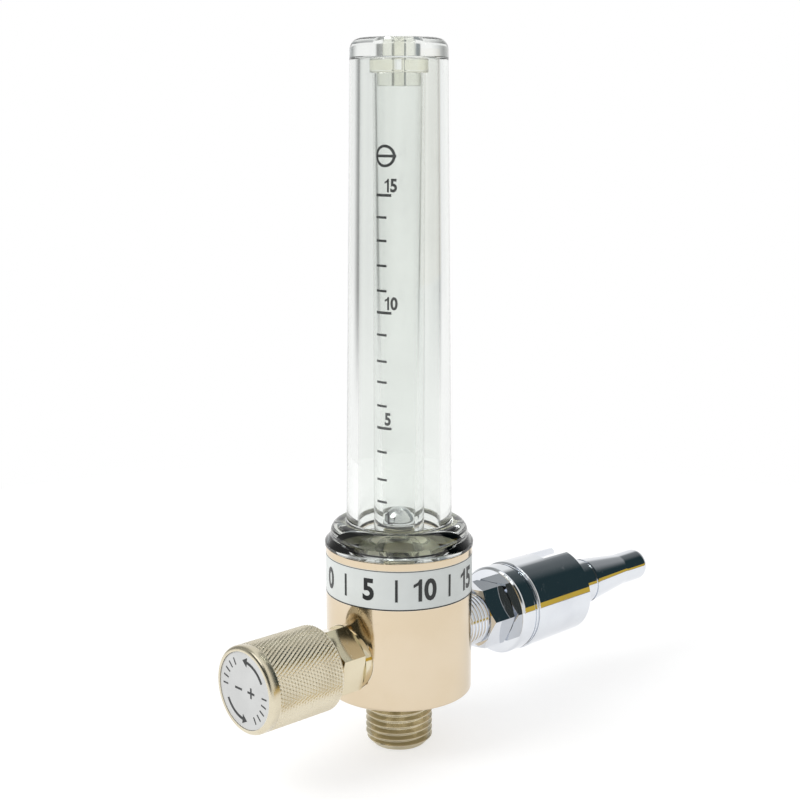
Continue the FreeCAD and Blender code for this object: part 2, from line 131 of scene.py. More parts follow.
# Studio: white paper behind and below, a soft lamp, and darker sides for the metal to mirror

studio = {
    "plainLevel": 0.74,         # light that matt surfaces get from all round
    "backdropTurn": 8.0,        # the white backdrop stands this far right of straight behind
    "backdropHalf": (34.0, 62.0),    # how far from its middle it begins to fade and is gone
    # how much of it is left from the horizon, 0, to the zenith, 1
    "backdropFade": ((0.00, 1.00), (0.06, 1.00), (0.22, 0.45), (0.30, 0.35), (0.50, 0.06), (1.00, 0.05)),
    # tones round the horizon, from behind the camera through the left, the backdrop and the right
    "sides": (
        (0.00, (0.82, 0.82, 0.80, 1)),
        (0.12, (0.70, 0.70, 0.69, 1)),
        (0.25, (0.42, 0.43, 0.42, 1)),
        (0.33, (0.30, 0.305, 0.30, 1)),
        (0.50, (0.90, 0.91, 0.90, 1)),
        (0.68, (1.00, 0.99, 0.95, 1)),
        (0.82, (0.86, 0.86, 0.83, 1)),
        (0.92, (0.78, 0.78, 0.76, 1)),
        (1.00, (0.82, 0.82, 0.80, 1)),
    ),
    "darkWall": (0.61, 0.66),   # how far a mirrored direction points to the wall before it turns dark
    "darkWallTurn": (5.0, 15.0),
    "teal": rgb(38, 54, 58),
    "goldRise": (-5.3, 3.2),    # warm band low on the right
    "goldTurn": (58.0, 68.0, 120.0, 135.0),     # begins, is full, begins to ease and ends
    "goldSoft": 0.4,
    "gold": rgb(206, 174, 72),
    "darkRoom": (0.1, -0.85, 0.5),   # the unlit room on the user's side
    "roomEdge": (0.70, 0.80),
    "roomTone": (0.05, 0.055, 0.05, 1),
    "softBox": (-0.10, -0.50, 0.86),
    "softBoxHalf": (24.0, 17.0),     # half its angle, outside and inside its soft edge
    "softBoxTone": (1.5, 1.5, 1.5, 1),
    "zenith": (62.0, 80.0),
    "zenithTone": (0.9, 0.92, 0.95, 1),
    "paperEdge": (-8.0, -5.0),       # below this the metal sees white paper
    "glassPaperEdge": (-12.5, -6.5),
    "glassFloorTone": (0.24, 0.27, 0.28, 1),   # the least that shows through clear plastic
    "lampPower": 1.15,
    "lampSize": 320 * mm,
    "lampPlace": (-120, -360, 420),
    "lampAim": (0, 0, 60),
    "floorRadius": 260 * mm,
    "floorSides": 96,
    "floorTone": (0.5, 0.5, 0.5, 1),
    "floorGlow": 0.6,
}


def makeSurround():
    world = bpy.data.worlds.new("studio")
    bpy.context.scene.world = world
    world.use_nodes = True
    world.cycles.sampling_method = "NONE"
    tree = world.node_tree
    tree.nodes.clear()
    look = put(tree, "ShaderNodeTexCoord").outputs["Generated"]
    turn = math.radians(cameraSide + 90 - studio["backdropTurn"])
    ahead = dot(tree, look, (math.cos(turn), math.sin(turn), 0))
    across = dot(tree, look, (math.sin(turn), -math.cos(turn), 0))
    parts = put(tree, "ShaderNodeSeparateXYZ", {0: look}).outputs
    elevation = maths(tree, "DEGREES", maths(tree, "ARCSINE", parts["Z"]))
    # turn from the backdrop's middle, positive to the right as the camera sees it
    heading = maths(tree, "DEGREES", maths(tree, "ARCTAN2", across, ahead))

    # the room's sides, its dark wall and the backdrop, which fades out upwards
    colour = ramp(tree, spread(tree, heading, -180, 180), studio["sides"])
    wall = maths(tree, "MULTIPLY", spread(tree, parts["Y"], *studio["darkWall"], smooth=True),
                 spread(tree, heading, *studio["darkWallTurn"]))
    colour = blendColours(tree, wall, colour, studio["teal"])
    backdrop = spread(tree, maths(tree, "ABSOLUTE", heading), *studio["backdropHalf"], 1, 0, smooth=True)
    fade = ramp(tree, spread(tree, elevation, 0, 90),
                [(place, (level, level, level, 1)) for place, level in studio["backdropFade"]])
    colour = blendColours(tree, maths(tree, "MULTIPLY", backdrop, fade), colour, white)

    # warm band and unlit room, which metal mirrors and clear plastic doesn't show
    path = put(tree, "ShaderNodeLightPath").outputs
    through = path["Is Transmission Ray"]
    notThrough = maths(tree, "SUBTRACT", 1.0, through)
    low, high = studio["goldRise"]
    soft = studio["goldSoft"]
    band = maths(tree, "MULTIPLY", spread(tree, elevation, low - soft, low, smooth=True),
                 spread(tree, elevation, high, high + soft, 1, 0, smooth=True))
    begin, full, ease, stop = studio["goldTurn"]
    right = maths(tree, "MULTIPLY", spread(tree, heading, begin, full, smooth=True),
                  spread(tree, heading, ease, stop, 1, 0, smooth=True))
    band = maths(tree, "MULTIPLY", band, notThrough)
    colour = blendColours(tree, maths(tree, "MULTIPLY", band, right), colour, studio["gold"])
    facing = dot(tree, look, tuple(Vector(studio["darkRoom"]).normalized()))
    unlit = maths(tree, "MULTIPLY", spread(tree, facing, *studio["roomEdge"], smooth=True), notThrough)
    colour = blendColours(tree, unlit, colour, studio["roomTone"])

    # soft box overhead and the paper below
    facing = dot(tree, look, tuple(Vector(studio["softBox"]).normalized()))
    edges = [math.cos(math.radians(half)) for half in studio["softBoxHalf"]]
    colour = blendColours(tree, spread(tree, facing, *edges, smooth=True), colour, studio["softBoxTone"])
    zenith = spread(tree, elevation, *studio["zenith"], smooth=True)
    colour = blendColours(tree, zenith, colour, studio["zenithTone"])
    metalPaper, glassPaper = [spread(tree, elevation, *studio[edge], 1, 0, smooth=True)
                              for edge in ("paperEdge", "glassPaperEdge")]
    colour = blendColours(tree, blendValues(tree, through, metalPaper, glassPaper), colour, white)
    colour = blendColours(tree, through, colour, studio["glassFloorTone"], "LIGHTEN")

    # matt surfaces get one plain level, and the camera sees plain white
    mirrored = maths(tree, "MAXIMUM", path["Is Glossy Ray"], through)
    plain = studio["plainLevel"]
    colour = blendColours(tree, mirrored, (plain, plain, plain, 1), colour)
    colour = blendColours(tree, path["Is Camera Ray"], colour, white)
    light = put(tree, "ShaderNodeBackground", {"Color": colour, "Strength": 1.0})
    put(tree, "ShaderNodeOutputWorld", {"Surface": light.outputs[0]})


def makeFloor():
    bm = bmesh.new()
    bmesh.ops.create_circle(bm, cap_ends=True, segments=studio["floorSides"], radius=studio["floorRadius"])
    mesh = bpy.data.meshes.new("floor")
    bm.to_mesh(mesh)
    floor = bpy.data.objects.new("floor", mesh)
    bpy.context.collection.objects.link(floor)
    paper = bpy.data.materials.new("paper")
    paper.use_nodes = True
    tree = paper.node_tree
    tree.nodes.clear()
    # the glow shows to the camera, in mirrors and through plastic; the matt part keeps the shadow
    path = put(tree, "ShaderNodeLightPath").outputs
    seen = maths(tree, "MAXIMUM", path["Is Camera Ray"],
                 maths(tree, "MAXIMUM", path["Is Glossy Ray"], path["Is Transmission Ray"]))
    glow = put(tree, "ShaderNodeEmission", {"Strength": maths(tree, "MULTIPLY", seen, studio["floorGlow"])})
    matt = put(tree, "ShaderNodeBsdfDiffuse", {"Color": studio["floorTone"]})
    both = put(tree, "ShaderNodeAddShader", {0: glow.outputs[0], 1: matt.outputs[0]})
    put(tree, "ShaderNodeOutputMaterial", {"Surface": both.outputs[0]})
    mesh.materials.append(paper)


def makeLamp():
    lamp = bpy.data.lights.new("softLamp", "AREA")
    lamp.shape = "DISK"
    lamp.size = studio["lampSize"]
    lamp.energy = studio["lampPower"]
    holder = bpy.data.objects.new("softLamp", lamp)
    holder.location = Vector(studio["lampPlace"]) * mm
    aim = Vector(studio["lampAim"]) * mm - holder.location
    holder.rotation_euler = aim.to_track_quat("-Z", "Y").to_euler()
    holder.visible_glossy = False
    bpy.context.collection.objects.link(holder)


makeSurround()
makeFloor()
makeLamp()
print("studio ready")


# Effects that several materials share

def newGroup(name, inputs, outputs):
    group = bpy.data.node_groups.new(name, "ShaderNodeTree")
    for label, kind, value in inputs:
        socket = group.interface.new_socket(name=label, in_out="INPUT", socket_type="NodeSocket" + kind)
        socket.default_value = value
    for label, kind in outputs:
        group.interface.new_socket(name=label, in_out="OUTPUT", socket_type="NodeSocket" + kind)
    start = group.nodes.new("NodeGroupInput").outputs
    end = group.nodes.new("NodeGroupOutput").inputs
    return group, start, end


def makeTurningMarks():
    # fine rings left by the lathe round an axis, on the side and on the faces
    group, start, end = newGroup(
        "turningMarks",
        (("Axis", "Vector", (0, 0, 1)), ("Centre", "Vector", (0, 0, 0)),
         ("Spacing", "Float", 0.25), ("Depth", "Float", 0.002)),
        (("Rings", "Float"), ("Normal", "Vector")))
    place = put(group, "ShaderNodeTexCoord").outputs["Object"]
    offset = vectors(group, "SUBTRACT", place, start["Centre"])
    along = dot(group, offset, start["Axis"])
    onAxis = put(group, "ShaderNodeVectorMath", {0: start["Axis"], "Scale": along}, operation="SCALE")
    outward = vectors(group, "DISTANCE", offset, onAxis.outputs[0], "Value")
    walk = maths(group, "ADD", along, outward)
    scale = maths(group, "DIVIDE", 1 / mm, start["Spacing"])
    fine = noise(group, scale, 3.0, {"W": walk, "Roughness": 0.7}, noise_dimensions="1D")
    bump = put(group, "ShaderNodeBump", {"Height": fine, "Strength": 1.0,
               "Distance": maths(group, "MULTIPLY", start["Depth"], mm)})
    group.links.new(fine, end["Rings"])
    group.links.new(bump.outputs[0], end["Normal"])
    return group


def makeTarnish():
    # broad clouds and finer blotches of a handled or slightly dulled surface
    group, start, end = newGroup(
        "tarnish",
        (("Size", "Float", 6.0), ("Cover", "Float", 0.5)),
        (("Mask", "Float"), ("Blotches", "Float")))
    finer, soft = 7.0, 0.15
    place = put(group, "ShaderNodeTexCoord").outputs["Object"]
    scale = maths(group, "DIVIDE", 1 / mm, start["Size"])
    broad = noise(group, scale, 4.0, {"Vector": place})
    fine = noise(group, maths(group, "MULTIPLY", scale, finer), 3.0, {"Vector": place})
    edge = maths(group, "SUBTRACT", 1.0, start["Cover"])
    low, high = [maths(group, operation, edge, soft) for operation in ("SUBTRACT", "ADD")]
    mask = spread(group, broad, low, high, smooth=True)
    group.links.new(mask, end["Mask"])
    group.links.new(maths(group, "MULTIPLY", mask, fine), end["Blotches"])
    return group


def makeScratches():
    # thin stray lines from handling: contour lines of stretched noise, broken up by a second noise
    group, start, end = newGroup(
        "scratches",
        (("Length", "Float", 8.0), ("Width", "Float", 0.02)),
        (("Mask", "Float"),))
    level, closer, kept = 0.5, 3.0, (0.52, 0.62)
    place = put(group, "ShaderNodeTexCoord").outputs["Object"]
    scale = maths(group, "DIVIDE", 1 / mm, start["Length"])
    turned = put(group, "ShaderNodeMapping", {"Vector": place, "Rotation": (0.5, 0.8, 0.3),
                 "Scale": (1, 5, 2.5)}).outputs[0]
    away = maths(group, "SUBTRACT", noise(group, scale, 1.0, {"Vector": turned}), level)
    line = spread(group, maths(group, "ABSOLUTE", away), 0.0, start["Width"], 1, 0)
    breaks = noise(group, maths(group, "MULTIPLY", scale, closer), 2.0, {"Vector": place})
    mask = maths(group, "MULTIPLY", line, spread(group, breaks, *kept, smooth=True))
    group.links.new(mask, end["Mask"])
    return group


def makeWornEdges():
    # marks the edges, where the plating wears to a tone of its own
    group, start, end = newGroup(
        "wornEdges",
        (("Width", "Float", 0.25),),
        (("Mask", "Float"),))
    flatAgrees, edgeAgrees = 0.995, 0.90
    radius = maths(group, "MULTIPLY", start["Width"], mm)
    rounded = put(group, "ShaderNodeBevel", {"Radius": radius}, samples=4).outputs[0]
    agree = dot(group, rounded, put(group, "ShaderNodeNewGeometry").outputs["Normal"])
    group.links.new(spread(group, agree, flatAgrees, edgeAgrees, 0, 1), end["Mask"])
    return group


def makeGrain():
    # very fine unevenness of film, rubber and fibre
    group, start, end = newGroup(
        "grain",
        (("Scale", "Float", 4000.0), ("Detail", "Float", 2.0), ("Roughness", "Float", 0.5),
         ("Strength", "Float", 0.3), ("Depth", "Float", 0.01)),
        (("Grain", "Float"), ("Normal", "Vector")))
    fine = noise(group, start["Scale"], start["Detail"], {"Roughness": start["Roughness"]})
    bump = put(group, "ShaderNodeBump", {"Height": fine, "Strength": start["Strength"],
               "Distance": maths(group, "MULTIPLY", start["Depth"], mm)})
    group.links.new(fine, end["Grain"])
    group.links.new(bump.outputs[0], end["Normal"])
    return group


turningMarks = makeTurningMarks()
tarnish = makeTarnish()
scratches = makeScratches()
wornEdges = makeWornEdges()
grain = makeGrain()

upAxis = {"Axis": (0, 0, 1), "Centre": (0, 0, 0)}
crossAxis = {"Axis": (0, 1, 0), "Centre": (0, 0, valveHeight * mm)}


def useGroup(tree, group, inputs):
    return put(tree, "ShaderNodeGroup", inputs, node_tree=group).outputs


def newMaterial(name):
    material = bpy.data.materials.new(name)
    material.use_nodes = True
    tree = material.node_tree
    return material, tree, tree.nodes["Principled BSDF"].inputs


def cloudTones(tree, skin, size, tone, otherTone):
    # two close tones in clouds; puts out the finer blotches for the gloss
    clouds = useGroup(tree, tarnish, {"Size": size, "Cover": 0.5})
    tree.links.new(blendColours(tree, clouds["Mask"], tone, otherTone), skin["Base Color"])
    return clouds["Blotches"]


# the part of each noise that changes the roughness, and what a scratch adds to it
metal = {"blotchRange": (0.0, 0.7), "ringRange": (0.3, 0.8), "scratchGloss": 0.12}


def makeMetal(name, finish):
    # plated or bare metal: two close tones in clouds, a third on the edges, turning marks and stray scratches
    material, tree, skin = newMaterial(name)
    clouds = useGroup(tree, tarnish, {"Size": finish["cloudSize"], "Cover": finish["cloudCover"]})
    edges = useGroup(tree, wornEdges, {"Width": finish["edgeWidth"]})
    lines = useGroup(tree, scratches, {"Length": finish["scratchLength"]})
    rings = useGroup(tree, turningMarks, {**finish["lathe"], "Spacing": finish["ringSpacing"],
                     "Depth": finish["ringDepth"]})
    tone = blendColours(tree, clouds["Mask"], finish["tone"], finish["dull"])
    tone = blendColours(tree, edges["Mask"], tone, finish["edge"])
    rough = spread(tree, clouds["Blotches"], *metal["blotchRange"],
                   finish["gloss"], finish["gloss"] + finish["glossSpread"])
    rough = maths(tree, "ADD", rough, maths(tree, "MULTIPLY", lines["Mask"], metal["scratchGloss"]))
    ringRough = spread(tree, rings["Rings"], *metal["ringRange"], 0, finish["ringGloss"])
    rough = maths(tree, "ADD", rough, ringRough)
    if "hollowRadius" in finish:
        # the hollow round the axis is left matt from the tool, and its tone is painted lighter than the
        # block: painted light standing in for the light that hardly reaches into the hollow
        place = put(tree, "ShaderNodeTexCoord").outputs["Object"]
        outward = vectors(tree, "LENGTH", vectors(tree, "MULTIPLY", place, (1, 1, 0)), result="Value")
        rise = put(tree, "ShaderNodeSeparateXYZ", {0: place}).outputs["Z"]
        inside = maths(tree, "MULTIPLY", maths(tree, "LESS_THAN", outward, finish["hollowRadius"] * mm),
                       maths(tree, "GREATER_THAN", rise, finish["hollowFloor"] * mm))
        rough = blendValues(tree, inside, rough, finish["hollowGloss"])
        tone = blendColours(tree, inside, tone, finish["hollowPaintedLightTone"])
    tree.links.new(tone, skin["Base Color"])
    tree.links.new(rough, skin["Roughness"])
    tree.links.new(rings["Normal"], skin["Normal"])
    skin["Metallic"].default_value = 1.0
    return material


# sizes in millimetres; gloss is the roughness where the metal is cleanest, and the other values add to it
turnedNickel = {
    "cloudSize": 14.0, "cloudCover": 0.5, "edgeWidth": 0.25, "scratchLength": 7.0,
    "ringSpacing": 0.30, "ringDepth": 0.0008, "ringGloss": 0.02,
}
blockFinish = {
    **turnedNickel, "lathe": upAxis, "gloss": 0.09, "glossSpread": 0.03,
    "tone": rgb(221, 205, 180), "dull": rgb(218, 201, 174), "edge": rgb(236, 226, 208),
    # the hollow's tone is painted light, lighter than the block so that the hollow does not read dark
    "hollowRadius": 12.6, "hollowFloor": 30.0, "hollowGloss": 0.6, "hollowPaintedLightTone": rgb(248, 246, 226),
}
bonnetFinish = {
    **turnedNickel, "lathe": crossAxis, "gloss": 0.08, "glossSpread": 0.04,
    "tone": rgb(226, 216, 190), "dull": rgb(219, 208, 181), "edge": rgb(198, 190, 158),
}
knobFinish = {
    "cloudSize": 6.0, "cloudCover": 0.45, "edgeWidth": 0.15, "scratchLength": 5.0,
    "lathe": crossAxis, "ringSpacing": 0.25, "ringDepth": 0.001, "ringGloss": 0.04,
    "gloss": 0.20, "glossSpread": 0.10,
    "tone": rgb(221, 212, 189), "dull": rgb(213, 203, 179), "edge": rgb(244, 239, 226),
}
brassFinish = {
    "cloudSize": 4.0, "cloudCover": 0.55, "edgeWidth": 0.15, "scratchLength": 4.0,
    "lathe": upAxis, "ringSpacing": 0.20, "ringDepth": 0.002, "ringGloss": 0.08,
    "gloss": 0.20, "glossSpread": 0.14,
    "tone": rgb(216, 206, 180), "dull": rgb(188, 178, 150), "edge": rgb(228, 220, 198),
}
# the ball seat is the brass made matt, with its tones painted lighter: painted light standing in for the
# light that hardly reaches it inside the hollow
seatPaintedLightFinish = {
    **brassFinish, "gloss": 0.5, "glossSpread": 0.1,
    "tone": rgb(244, 240, 212), "dull": rgb(236, 230, 200),
}
chromeFinish = {
    "cloudSize": 10.0, "cloudCover": 0.4, "edgeWidth": 0.20, "scratchLength": 9.0,
    "lathe": crossAxis, "ringSpacing": 0.40, "ringDepth": 0.0006, "ringGloss": 0.02,
    "gloss": 0.035, "glossSpread": 0.04,
    "tone": rgb(226, 229, 234), "dull": rgb(219, 222, 228), "edge": rgb(240, 243, 247),
}
steelFinish = {
    **chromeFinish, "lathe": upAxis, "gloss": 0.04,
    "tone": rgb(228, 230, 232), "dull": rgb(216, 218, 220),
}

clearPlastic = {
    "coverTones": (rgb(245, 247, 245), rgb(243, 245, 243)),
    "tubeTones": (rgb(254, 255, 254), rgb(252, 253, 252)),
    "cloudSize": 14.0, "scratchLength": 10.0, "scratchWidth": 0.006, "scratchGloss": 0.08,
    "ior": 1.49, "shadowTone": (0.93, 0.94, 0.94, 1),
}


def makeClearPlastic(name, tones):
    # moulded and polished, with a few fine scratches; its shadow is faint
    material, tree, skin = newMaterial(name)
    cloudTones(tree, skin, clearPlastic["cloudSize"], *tones)
    lines = useGroup(tree, scratches, {"Length": clearPlastic["scratchLength"],
                     "Width": clearPlastic["scratchWidth"]})
    tree.links.new(maths(tree, "MULTIPLY", lines["Mask"], clearPlastic["scratchGloss"]), skin["Roughness"])
    skin["IOR"].default_value = clearPlastic["ior"]
    skin["Transmission Weight"].default_value = 1.0
    solid = tree.nodes["Principled BSDF"].outputs[0]
    faint = put(tree, "ShaderNodeBsdfTransparent", {"Color": clearPlastic["shadowTone"]}).outputs[0]
    path = put(tree, "ShaderNodeLightPath").outputs
    either = put(tree, "ShaderNodeMixShader", {0: path["Is Shadow Ray"], 1: solid, 2: faint})
    tree.links.new(either.outputs[0], tree.nodes["Material Output"].inputs["Surface"])
    return material


vinyl = {
    "tones": (rgb(253, 253, 247), rgb(251, 250, 242)), "cloudSize": 3.0, "gloss": (0.03, 0.08), "ior": 1.42,
}


def makeSoftVinyl():
    material, tree, skin = newMaterial("softVinyl")
    blotches = cloudTones(tree, skin, vinyl["cloudSize"], *vinyl["tones"])
    tree.links.new(spread(tree, blotches, 0, 1, *vinyl["gloss"]), skin["Roughness"])
    skin["Transmission Weight"].default_value = 1.0
    skin["IOR"].default_value = vinyl["ior"]
    return material


# matt sheets and seals, which differ in tone, clouds, gloss and grain
film = {"cloudSize": 5.0, "gloss": (0.32, 0.48),
        "grain": {"Scale": 4000.0, "Detail": 2.0, "Strength": 0.3, "Depth": 0.01}}
rubber = {"cloudSize": 2.5, "gloss": (0.35, 0.60),
          "grain": {"Scale": 5000.0, "Detail": 3.0, "Strength": 0.5, "Depth": 0.02}}


def makeMatt(name, finish, tone, otherTone):
    material, tree, skin = newMaterial(name)
    blotches = cloudTones(tree, skin, finish["cloudSize"], tone, otherTone)
    tree.links.new(spread(tree, blotches, 0, 1, *finish["gloss"]), skin["Roughness"])
    tree.links.new(useGroup(tree, grain, finish["grain"])["Normal"], skin["Normal"])
    return material


fibre = {
    "tones": ((0.35, rgb(52, 40, 30)), (0.65, rgb(84, 66, 48))), "gloss": 0.7,
    "grain": {"Scale": 2500.0, "Detail": 4.0, "Roughness": 0.7, "Strength": 0.6, "Depth": 0.03},
}


def makeFibre():
    material, tree, skin = newMaterial("fibreWasher")
    threads = useGroup(tree, grain, fibre["grain"])
    tree.links.new(ramp(tree, threads["Grain"], fibre["tones"]), skin["Base Color"])
    tree.links.new(threads["Normal"], skin["Normal"])
    skin["Roughness"].default_value = fibre["gloss"]
    return material


blockMetal = makeMetal("nickelledBrass", blockFinish)
bonnetMetal = makeMetal("nickelledBonnet", bonnetFinish)
knobMetal = makeMetal("brightNickel", knobFinish)
brassMetal = makeMetal("bareBrass", brassFinish)
seatPaintedLightMetal = makeMetal("mattBrassPaintedLight", seatPaintedLightFinish)
chromeMetal = makeMetal("chromePlate", chromeFinish)
steelMetal = makeMetal("polishedSteel", steelFinish)
coverPlastic = makeClearPlastic("coverPlastic", clearPlastic["coverTones"])
tubePlastic = makeClearPlastic("tubePlastic", clearPlastic["tubeTones"])
softVinyl = makeSoftVinyl()
labelWhite = makeMatt("labelFilm", film, rgb(238, 243, 241), rgb(234, 239, 237))
discSilver = makeMatt("discFilm", film, rgb(226, 227, 226), rgb(220, 221, 220))
printInk = makeMatt("printInk", film, rgb(34, 37, 38), rgb(42, 45, 46))
sealRubber = makeMatt("sealRubber", rubber, rgb(26, 36, 32), rgb(34, 46, 40))
coverRubber = makeMatt("coverRubber", rubber, rgb(112, 116, 94), rgb(124, 128, 104))
fibreWasher = makeFibre()
print("materials ready")


# Mesh helpers. Pieces are drawn in millimetres about their own axis and laid along one of three lines

def layUp(x, y, z):
    return Vector((x, y, z)) * mm


def layToWall(x, y, z):
    return Vector((x, z, valveHeight - y)) * mm


def layToUser(x, y, z):
    return Vector((x, -z, valveHeight + y)) * mm


rounding = {"share": 0.98, "supportGap": 0.05, "supportShare": 0.008}


def soften(corners, steps=6):
    # a closed outline; corners with a third number are rounded by it, within their share of both sides
    points = [Vector(corner[:2]) for corner in corners]
    rounds = [corner[2] if len(corner) == 3 else 0 for corner in corners]
    count = len(points)
    path = []
    for i, radius in enumerate(rounds):
        if not radius:
            path.append(points[i])
            continue
        after = (i + 1) % count
        back = points[i - 1] - points[i]
        front = points[after] - points[i]
        half = back.angle(front) / 2
        reach = min(radius / math.tan(half),
                    rounding["share"] * back.length * radius / (radius + rounds[i - 1]),
                    rounding["share"] * front.length * radius / (radius + rounds[after]))
        radius = reach * math.tan(half)
        # a support point beside the rounding keeps the shading of the straight side true
        before, behind = [
            side.normalized() * (reach + min(rounding["supportGap"], rounding["supportShare"] * side.length))
            for side in (back, front)]
        path.append(points[i] + before)
        middle = (back.normalized() + front.normalized()).normalized()
        centre = points[i] + middle * (radius / math.sin(half))
        start = points[i] + back.normalized() * reach - centre
        turn = start.angle_signed(points[i] + front.normalized() * reach - centre)
        for step in range(steps + 1):
            path.append(centre + Matrix.Rotation(-turn * step / steps, 2) @ start)
        path.append(points[i] + behind)
    return path


def finishPiece(bm, name, material, lay, body, sharp=35.0, weld=0.0005):
    bmesh.ops.remove_doubles(bm, verts=bm.verts, dist=weld)
    for vert in bm.verts:
        vert.co = lay(*vert.co)
    bmesh.ops.recalc_face_normals(bm, faces=bm.faces)
    mesh = bpy.data.meshes.new(name)
    bm.to_mesh(mesh)
    bm.free()
    mesh.shade_smooth()
    mesh.set_sharp_from_angle(angle=math.radians(sharp))
    mesh.materials.append(material)
    piece = bpy.data.objects.new(name, mesh)
    bpy.context.collection.objects.link(piece)
    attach(piece, body)
    return piece


def trim(bm, height, sign):
    # cuts off what lies below the height, with sign -1, or above it, with sign 1
    bmesh.ops.bisect_plane(bm, geom=bm.verts[:] + bm.edges[:] + bm.faces[:], dist=tiny,
                           plane_co=(0, 0, height), plane_no=(0, 0, sign), clear_outer=True)


def turnOutline(bm, path, around):
    # closed outline turned about Z; a point on the axis is one vertex
    rings = []
    for point in path:
        if point.x < tiny:
            rings.append([bm.verts.new((0, 0, point.y))] * around)
        else:
            rings.append([bm.verts.new((point.x * math.cos(2 * math.pi * i / around),
                                        point.x * math.sin(2 * math.pi * i / around), point.y))
                          for i in range(around)])
    for low, high in zip(rings, rings[1:] + rings[:1]):
        for i in range(around):
            j = (i + 1) % around
            corners = []
            for vert in (low[i], low[j], high[j], high[i]):
                if vert not in corners:
                    corners.append(vert)
            if len(corners) > 2:
                bm.faces.new(corners)


# Clear cover and flow tube

cover = {
    "skirtRadius": 12.4, "skirtEnd": 38.0, "seat": 44.5,
    "flangeRadius": 15.7, "flangeTop": 45.2, "stepRadius": 14.5, "stepFoot": 46.6, "edgeRound": 0.5,
    "shoulder": 49.5, "shoulderRound": 3.0, "footRadius": 11.1, "footFillet": 0.4,
    "topRadius": 9.85, "crown": 148.8, "crownRise": 0.5, "topRound": 2.3,
    "footBore": 8.8, "topBore": 7.85, "boreRound": 0.6, "capUnder": 144.7,
    "pocketRadius": 3.5, "pocketDepth": 2.8, "around": 192, "roundSteps": 8,
}


def makeCover():
    outline = [
        (cover["footBore"], cover["skirtEnd"]),
        (cover["skirtRadius"], cover["skirtEnd"]),
        (cover["skirtRadius"], cover["seat"]),
        (cover["flangeRadius"], cover["seat"]),
        (cover["flangeRadius"], cover["flangeTop"], cover["edgeRound"]),
        (cover["stepRadius"], cover["stepFoot"], cover["edgeRound"]),
        (cover["stepRadius"], cover["shoulder"], cover["shoulderRound"]),
        (cover["footRadius"], cover["shoulder"], cover["footFillet"]),
        (cover["topRadius"], cover["crown"] - cover["crownRise"], cover["topRound"]),
        (0, cover["crown"]),
        (0, cover["capUnder"] + cover["pocketDepth"]),
        (cover["pocketRadius"], cover["capUnder"] + cover["pocketDepth"]),
        (cover["pocketRadius"], cover["capUnder"]),
        (cover["topBore"], cover["capUnder"], cover["boreRound"]),
        (cover["footBore"], cover["shoulder"]),
    ]
    bm = bmesh.new()
    turnOutline(bm, soften(outline, cover["roundSteps"]), cover["around"])
    piece = finishPiece(bm, "clearCover", coverPlastic, layUp, "root")
    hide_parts("clear_cover")


tube = {
    "radius": 5.3, "foot": 31.2, "head": 141.5, "footRound": 0.3,
    "boreLow": 3.4, "boreHigh": 4.6, "taperStart": 46.225, "around": 128,
}


def makeTube():
    outline = [
        (tube["boreLow"], tube["foot"]),
        (tube["radius"], tube["foot"], tube["footRound"]),
        (tube["radius"], tube["head"]),
        (tube["boreHigh"], tube["head"]),
        (tube["boreLow"], tube["taperStart"]),
    ]
    bm = bmesh.new()
    turnOutline(bm, soften(outline), tube["around"])
    piece = finishPiece(bm, "flowTube", tubePlastic, layUp, "root")
    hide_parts("flow_tube")


makeCover()
makeTube()
print("clear cover and flow tube made")


# Threads and knurl

def helixRows(bm, pitch, start, end, shape, around, rows):
    # strip of faces that follows the helix, so that the thread's flanks are clean
    grid = {}
    first = int(math.floor(start / pitch * rows)) - rows - 1
    last = int(math.ceil(end / pitch * rows)) + 1

    def vert(i, k):
        if i == around:
            return vert(0, k + rows)
        if (i, k) not in grid:
            height = pitch * (k / rows + i / around)
            radius = shape(k % rows, height)
            turn = 2 * math.pi * i / around
            grid[i, k] = bm.verts.new((radius * math.cos(turn), radius * math.sin(turn), height))
        return grid[i, k]

    for k in range(first, last):
        for i in range(around):
            bm.faces.new((vert(i, k), vert(i + 1, k), vert(i + 1, k + 1), vert(i, k + 1)))
    trim(bm, start, -1)
    trim(bm, end, 1)


def drawIn(bm, height, path):
    # carries the open edge at a height on through (radius, height) rings
    loop = [edge for edge in bm.edges if edge.is_boundary
            and all(abs(vert.co.z - height) < near for vert in edge.verts)]
    for radius, place in path:
        grown = bmesh.ops.extrude_edge_only(bm, edges=loop)["geom"]
        loop = [item for item in grown if isinstance(item, bmesh.types.BMEdge)
                and item.is_boundary]
        for vert in {vert for edge in loop for vert in edge.verts}:
            flat = Vector((vert.co.x, vert.co.y)).normalized() * radius
            vert.co = (flat.x, flat.y, place)


outlet = {
    "crest": 7.144, "root": 6.22, "pitch": 1.411, "start": 0.0, "end": 11.2, "chamfer": 1.5,
    "profile": (0.0, 0.0, 0.28, 0.72, 1.0, 1.0, 0.72, 0.28),   # crest at 0, root at 1
    "neckRadius": 6.3, "blockFace": 12.5, "shankRadius": 6.0, "shankEnd": 18.3, "boreRadius": 2.9,
    "around": 96, "sharp": 50,
}


def makeOutlet():
    def shape(row, height):
        radius = outlet["crest"] - outlet["profile"][row] * (outlet["crest"] - outlet["root"])
        lead = outlet["crest"] - outlet["chamfer"] + max(height, 0)
        return min(radius, lead)

    bm = bmesh.new()
    helixRows(bm, outlet["pitch"], outlet["start"], outlet["end"], shape, outlet["around"],
              len(outlet["profile"]))
    middle = outlet["shankEnd"] / 2
    drawIn(bm, outlet["start"], ((outlet["boreRadius"], outlet["start"]), (outlet["boreRadius"], middle)))
    drawIn(bm, outlet["end"], (
        (outlet["neckRadius"], outlet["end"]), (outlet["neckRadius"], outlet["blockFace"]),
        (outlet["shankRadius"], outlet["blockFace"]), (outlet["shankRadius"], outlet["shankEnd"]),
        (outlet["boreRadius"], outlet["shankEnd"]), (outlet["boreRadius"], middle)))
    piece = finishPiece(bm, "outletThread", brassMetal, layUp, "root", outlet["sharp"])
    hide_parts("outlet_nipple")


